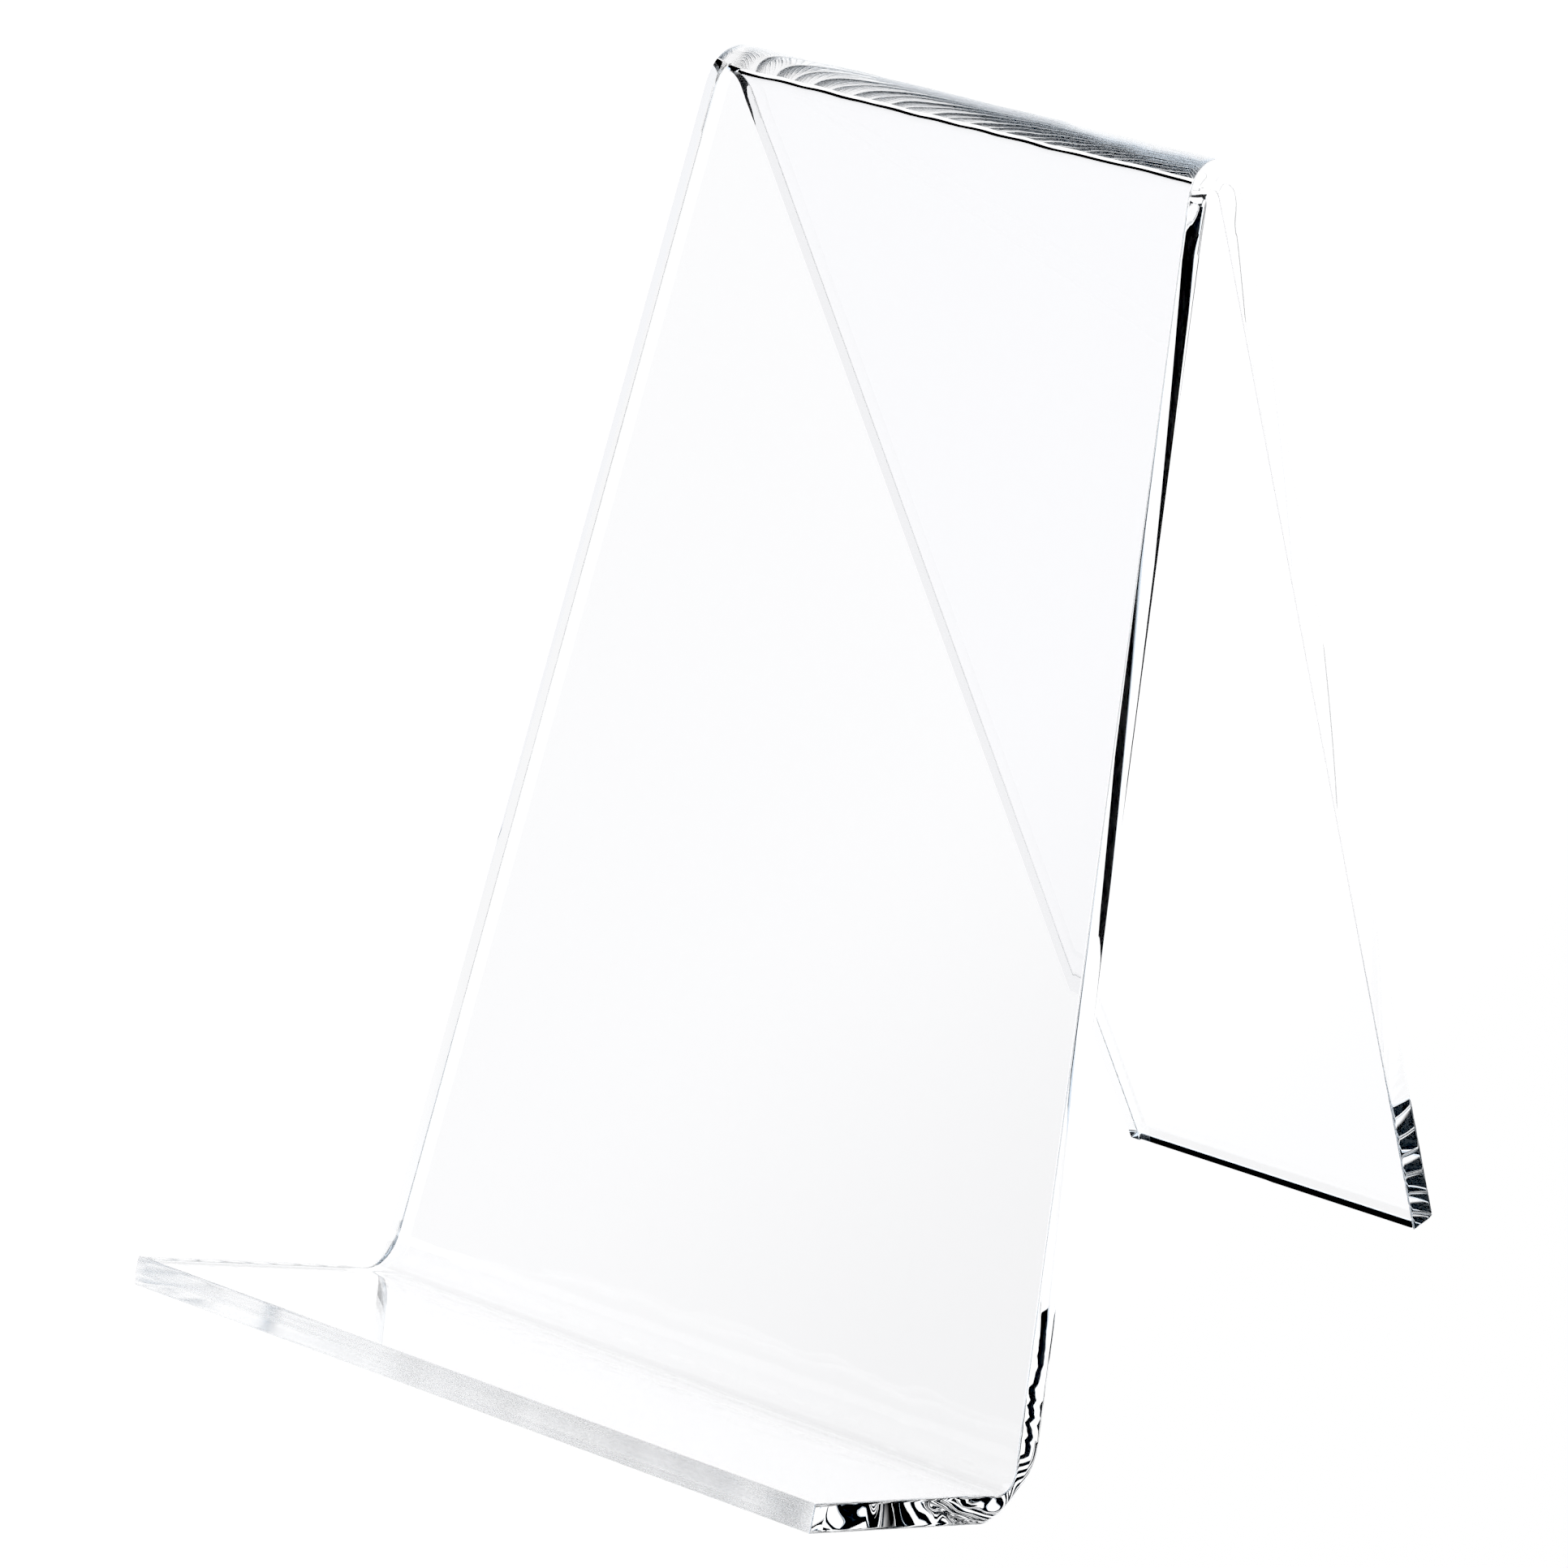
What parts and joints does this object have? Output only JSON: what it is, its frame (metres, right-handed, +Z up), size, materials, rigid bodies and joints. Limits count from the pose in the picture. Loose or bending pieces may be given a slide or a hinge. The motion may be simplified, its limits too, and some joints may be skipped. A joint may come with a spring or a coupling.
{
  "type": "plate display stand",
  "caption": "Clear acrylic plate stand: one tapered sheet bent into an upturned ledge, a leaning back panel and a rear leg.",
  "frame": {"origin": "centre of the footprint, on the surface that the stand rests on", "axes": "+Z up, the ledge and the displayed plate face -Y, the rear leg is at +Y, X across the sheet"},
  "size_m": [0.0956, 0.12, 0.1252],
  "materials": {
    "clear_acrylic": "polished"
  },
  "bodies": {
    "root": {"bent_acrylic_sheet": "clear_acrylic"}
  },
  "joints": []
}
